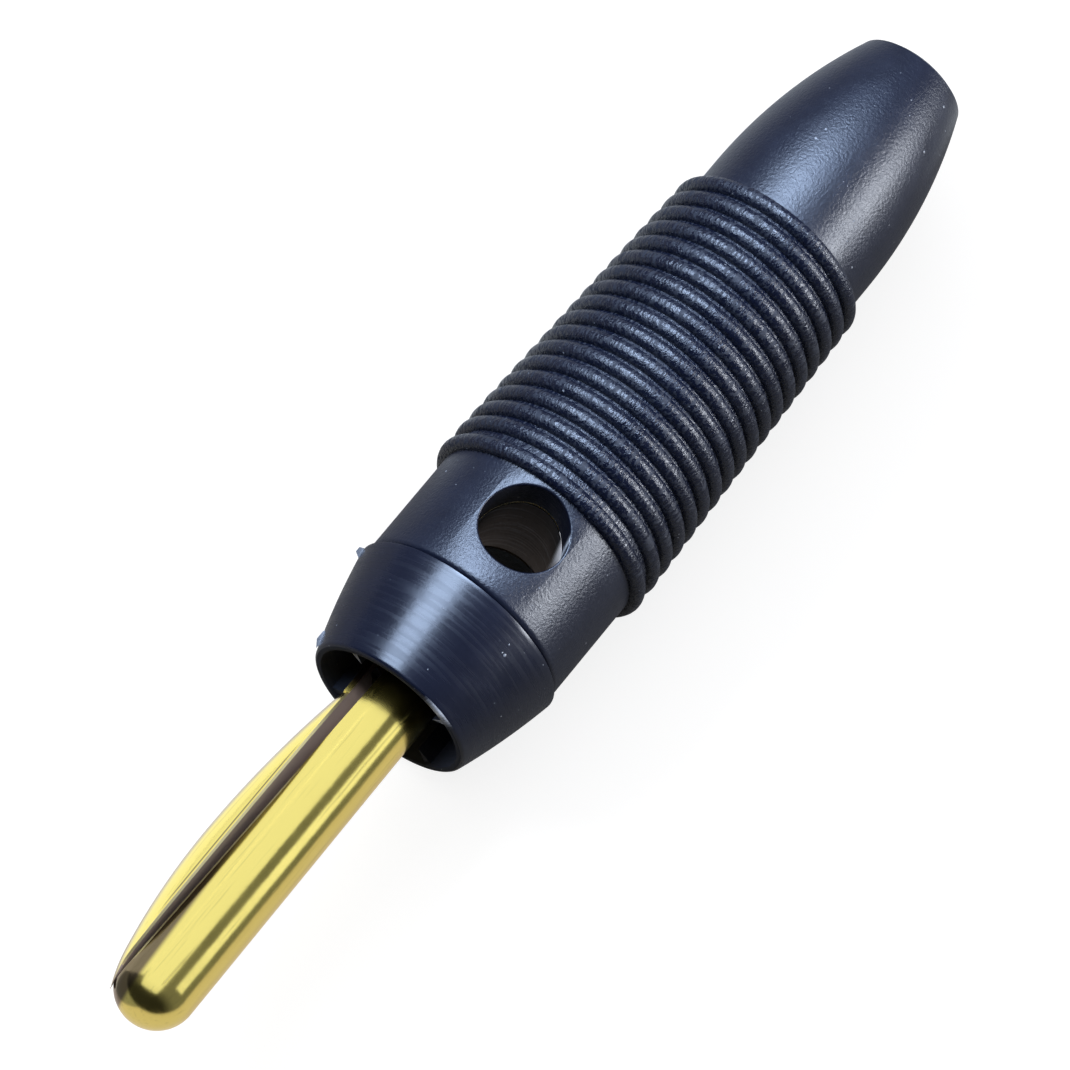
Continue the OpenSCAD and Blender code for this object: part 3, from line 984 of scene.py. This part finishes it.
# %% Nose collar
nose_front_r = 4.15
nose_rear_r = 5.5
nose_bulge = 0.1
nose_edge = 0.15
recess_r = 3.8
spigot_r = 3.95
neck_bore_r = 2.62
nose_soft_edge = 0.06
recess_rim = 0.02
wedge_r = 0.75
wedge_length = 1.9
wedge_x = 1.1
wedge_sink = 0.2
wedge_squeeze = 0.385
# Painted highlights: pale on the wedges' front ends and on a strip of the front rim.
wedge_highlight = 1.1
rim_highlight, rim_highlight_turn, rim_highlight_spread = 1.8, 27, 14
flake_turn = math.radians(-79)
flake_thickness = 0.12
flake_wear = 0.3

rise = nose_rear_r - nose_front_r
slant = math.hypot(nose_length, rise)
side_r = (slant * slant / 4 + nose_bulge ** 2) / (2 * nose_bulge)
drop = side_r - nose_bulge
side_centre = Vector((
    nose_length / 2 + drop * rise / slant,
    (nose_front_r + nose_rear_r) / 2 - drop * nose_length / slant))
front = Vector((0, nose_front_r))
rear = Vector((nose_length, nose_rear_r))
sweep = math.degrees((rear - side_centre).angle_signed(front - side_centre))

nose_bm, start = pen_start(0, recess_r)
vert = pen_lines(nose_bm, start, (0, nose_front_r))
vert = pen_arc(nose_bm, vert, side_centre.x, side_centre.y, sweep, 24)
print("nose side ends at", [round(c, 3) for c in vert.co], "sweep", round(sweep, 2))
vert.co = (nose_length, nose_rear_r, 0)
vert = pen_lines(
    nose_bm, vert, (nose_length, spigot_r), (spigot_end, spigot_r), (spigot_end, neck_bore_r),
    (recess_depth, neck_bore_r), (recess_depth, recess_r))
nose_bm.edges.new((vert, start))
spin_about(nose_bm, (1, 0, 0), 160)
round_rings(nose_bm, [(0, nose_front_r)], nose_edge, 5)
round_rings(nose_bm, [(nose_length, nose_rear_r), (recess_depth, recess_r)], nose_soft_edge, 3)
round_rings(nose_bm, [(0, recess_r)], recess_rim, 2)
for quarter in range(4):
    bmesh.ops.create_cone(
        nose_bm, cap_ends=True, segments=3, radius1=wedge_r, radius2=wedge_r, depth=wedge_length,
        matrix=Matrix.Rotation(math.radians(45 + 90 * quarter), 4, "X")
        @ Matrix.Translation(Vector((wedge_x, recess_r - wedge_sink, 0)))
        @ Matrix.Diagonal((1, 1, wedge_squeeze, 1))
        @ Matrix.Rotation(math.radians(90), 4, "Y") @ Matrix.Rotation(math.radians(180), 4, "Z"))
wear_and_highlight_layer = nose_bm.faces.layers.float.new("wear_and_highlight")
inner_layer = nose_bm.faces.layers.float.new("inner")
collar_faces = len(nose_bm.faces)
nose_bm.normal_update()
# Painted highlights on the wedges' front ends and on the strip of the front rim that faces the
# light.
for face in nose_bm.faces:
    middle = face.calc_center_median()
    turn = math.degrees(math.atan2(-middle.y, middle.z)) - math.degrees(side_turn)
    reach = math.hypot(middle.y, middle.z)
    on_rim = middle.x < 0.12 and reach > recess_r
    on_wedge = len(face.verts) == 3 and face.normal.x < -0.9 and middle.z > 0
    rim_lit = max(0.0, 1 - abs(turn - rim_highlight_turn) / rim_highlight_spread) if on_rim else 0.0
    face[wear_and_highlight_layer] = wedge_highlight if on_wedge else rim_highlight * rim_lit
    in_recess = middle.x < recess_depth and reach < recess_r + 0.015
    face[inner_layer] = float(in_recess or middle.x < 0.01)
for x, stand_off, length, height in ((5.0, 5.5, 0.7, 0.4), (0.65, 4.38, 1.2, 0.26)):
    flake = bmesh.ops.create_cone(
        nose_bm, cap_ends=True, segments=4, radius1=0.5, radius2=0.2, depth=1,
        matrix=Matrix.Rotation(side_turn, 4, "X") @ Matrix.Translation(Vector((x, stand_off, 0)))
        @ Matrix.Rotation(flake_turn, 4, "X")
        @ Matrix.Diagonal((length, flake_thickness, height, 1)))
    for face in {f for v in flake["verts"] for f in v.link_faces}:
        face[wear_and_highlight_layer] = flake_wear
print("nose:", collar_faces, "faces, and", len(nose_bm.faces) - collar_faces, "of moulding flash")
shade_by_angle(nose_bm, 30)
finish_piece(nose_bm, "tapered_nose", "contact", "nose_collar", "nose_plastic", nose_black)

# %% [markdown]
# ## The grip sleeve
# The sleeve is one moulding: a plain front, eighteen round ribs that get lower towards the tail, and
# a tail that curves in to the cable's entry. The pen draws the whole loop, outside and bore, with a
# half-circle for each rib. One spin then gives ribs that are truly round, which stacked rings or a
# displaced cylinder would not.

# %% Grip sleeve outline and spin
sleeve_x = 5.32
sleeve_r = 5.3
sleeve_edge = 0.3
rib_count = 18
rib_pitch = 1.02
rib_first_x = 11.62
rib_first_pitch = 1.2
rib_crest = 0.42
rib_first_r = 5.8
rib_last_r = 5.15
groove_depth = 0.38
tail_r = 4.6
tail_end_r = 2.75
tail_edge = 0.25
tail_rim = 0.2
tail_length = 9.8
tail_straight = 1.7
step_slant = 0.03
bore_r = 3.25
bore_end = 20.2
bore_mouth_r = 4.0
bore_mouth_end = 6.4
wire_room_r = 2.6
cable_r = 1.9
cable_depth = 3.6
cable_step = 0.7
cable_chamfer = 0.15
rib_places = [rib_first_x] + [
    rib_first_x + rib_first_pitch + i * rib_pitch for i in range(rib_count - 1)]
rib_last_x = rib_places[-1]
curve_x = rib_last_x + rib_pitch / 2 + tail_straight
tail_end_x = curve_x + tail_length


def rib_top(x):
    return rib_first_r + (rib_last_r - rib_first_r) * (x - rib_first_x) / (rib_last_x - rib_first_x)


grip_bm, start = pen_start(sleeve_x, bore_mouth_r)
vert = pen_lines(grip_bm, start, (sleeve_x, sleeve_r - sleeve_edge))
vert = pen_arc(grip_bm, vert, sleeve_x + sleeve_edge, sleeve_r - sleeve_edge, -90, 8)
for x in rib_places:
    centre = rib_top(x) - rib_crest
    floor_r = rib_top(x) - groove_depth if x > rib_first_x else sleeve_r
    enter_angle = math.degrees(math.asin((floor_r - centre) / rib_crest))
    leave_angle = math.degrees(math.asin((rib_top(x) - groove_depth - centre) / rib_crest))
    rib_start = x - rib_crest * math.cos(math.radians(enter_angle))
    vert = pen_lines(grip_bm, vert, (rib_start, floor_r))
    vert = pen_arc(grip_bm, vert, x, centre, -(180 - enter_angle - leave_angle), 12)
vert = pen_lines(grip_bm, vert, (vert.co.x + step_slant, tail_r), (curve_x, tail_r))
tail_fall = tail_r - tail_end_r
tail_arc_r = (tail_length ** 2 + tail_fall ** 2) / (2 * tail_fall)
tail_sweep = math.degrees(math.asin((tail_length - tail_rim) / tail_arc_r))
vert = pen_arc(grip_bm, vert, curve_x, tail_r - tail_arc_r, -tail_sweep, 28)
print("tail's curve ends at", [round(c, 3) for c in vert.co])
vert = pen_lines(
    grip_bm, vert, (tail_end_x, tail_end_r - tail_edge), (tail_end_x, cable_r + cable_chamfer),
    (tail_end_x - cable_chamfer, cable_r), (tail_end_x - cable_depth, cable_r),
    (tail_end_x - cable_depth - cable_step, wire_room_r), (bore_end, wire_room_r),
    (bore_end, bore_r), (bore_mouth_end, bore_r), (bore_mouth_end, bore_mouth_r))
grip_bm.edges.new((vert, start))
spin_about(grip_bm, (1, 0, 0), 160)
print("sleeve spun:", len(grip_bm.faces), "faces")

# %% [markdown]
# The cross hole is bored through both walls of the sleeve with the same flared tool that bored the
# shank, so that its rim comes out softly rounded too.

# %% Cross hole with a rounded rim
# Painted highlight: a pale streak on one side of the sleeve's cross hole wall.
hole_highlight, hole_highlight_turn, hole_highlight_spread = 2, 62, 4
for upper in (True, False):
    grip_bm = cut_away(grip_bm, hole_cutter(sleeve_r, rim_round=0.12, flare=0.16, upper=upper))
wear_and_highlight_layer = grip_bm.faces.layers.float.new("wear_and_highlight")
# Painted highlight on the hole's wall, fading to either side.
for face in grip_bm.faces:
    middle = face.calc_center_median()
    hole_reach = math.hypot(middle.x - cross_hole_x, middle.y)
    if abs(hole_reach - cross_hole_r) < near_wall and middle.z > 3:
        round_hole = math.degrees(math.atan2(-middle.y, middle.x - cross_hole_x))
        fading = abs(round_hole - hole_highlight_turn) / hole_highlight_spread
        face[wear_and_highlight_layer] = max(0.0, hole_highlight - fading)
shade_by_angle(grip_bm, 32)
finish_piece(grip_bm, "ribbed_sleeve", "grip", "grip_sleeve", "grip_plastic", sleeve_black)

# %% [markdown]
# ## The clamp screw
# A short slotted screw in the shank clamps the bare wire. It is hidden until the sleeve is pulled
# off. It is turned like the rest, with its end chamfered, and the slot is sawn across it.

# %% Clamp screw
screw_r = 1.48
screw_bottom, screw_top = 0.95, 2.95
screw_tip_r, screw_tip_top = 1.2, 1.2
screw_chamfer = 0.2
saw_height = 2.85
saw_size = (4, 0.5, 1.0)
screw_bm, vert = pen_start(0, screw_bottom)
pen_lines(
    screw_bm, vert, (screw_tip_r, screw_bottom), (screw_r, screw_tip_top),
    (screw_r, screw_top - screw_chamfer), (screw_r - screw_chamfer, screw_top), (0, screw_top))
spin_about(screw_bm, (0, 1, 0), 64)
bmesh.ops.rotate(
    screw_bm, verts=screw_bm.verts, cent=(0, 0, 0),
    matrix=Matrix.Rotation(math.radians(90), 3, "X"))
bmesh.ops.translate(screw_bm, verts=screw_bm.verts, vec=(clamp_x, 0, 0))
saw_bm = bmesh.new()
add_box(saw_bm, (clamp_x, 0, saw_height), saw_size)
screw_bm = cut_away(screw_bm, saw_bm)
shade_by_angle(screw_bm, 30)
finish_piece(screw_bm, "slotted_screw", "screw", "clamp_screw", "screw_steel", turned_steel)

# %% [markdown]
# ## Size and finish
# The box of the dressed plug is printed next to the box of the CAD model, so that the two can be
# compared.

# %% Write the sizes and finish
boxes = {
    "cad": [list(corner) for corner in cad_box],
    "visual": [list(corner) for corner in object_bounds()],
}
for label, corners in boxes.items():
    print(label, "box in mm:", [[round(c / MM, 2) for c in corner] for corner in corners])
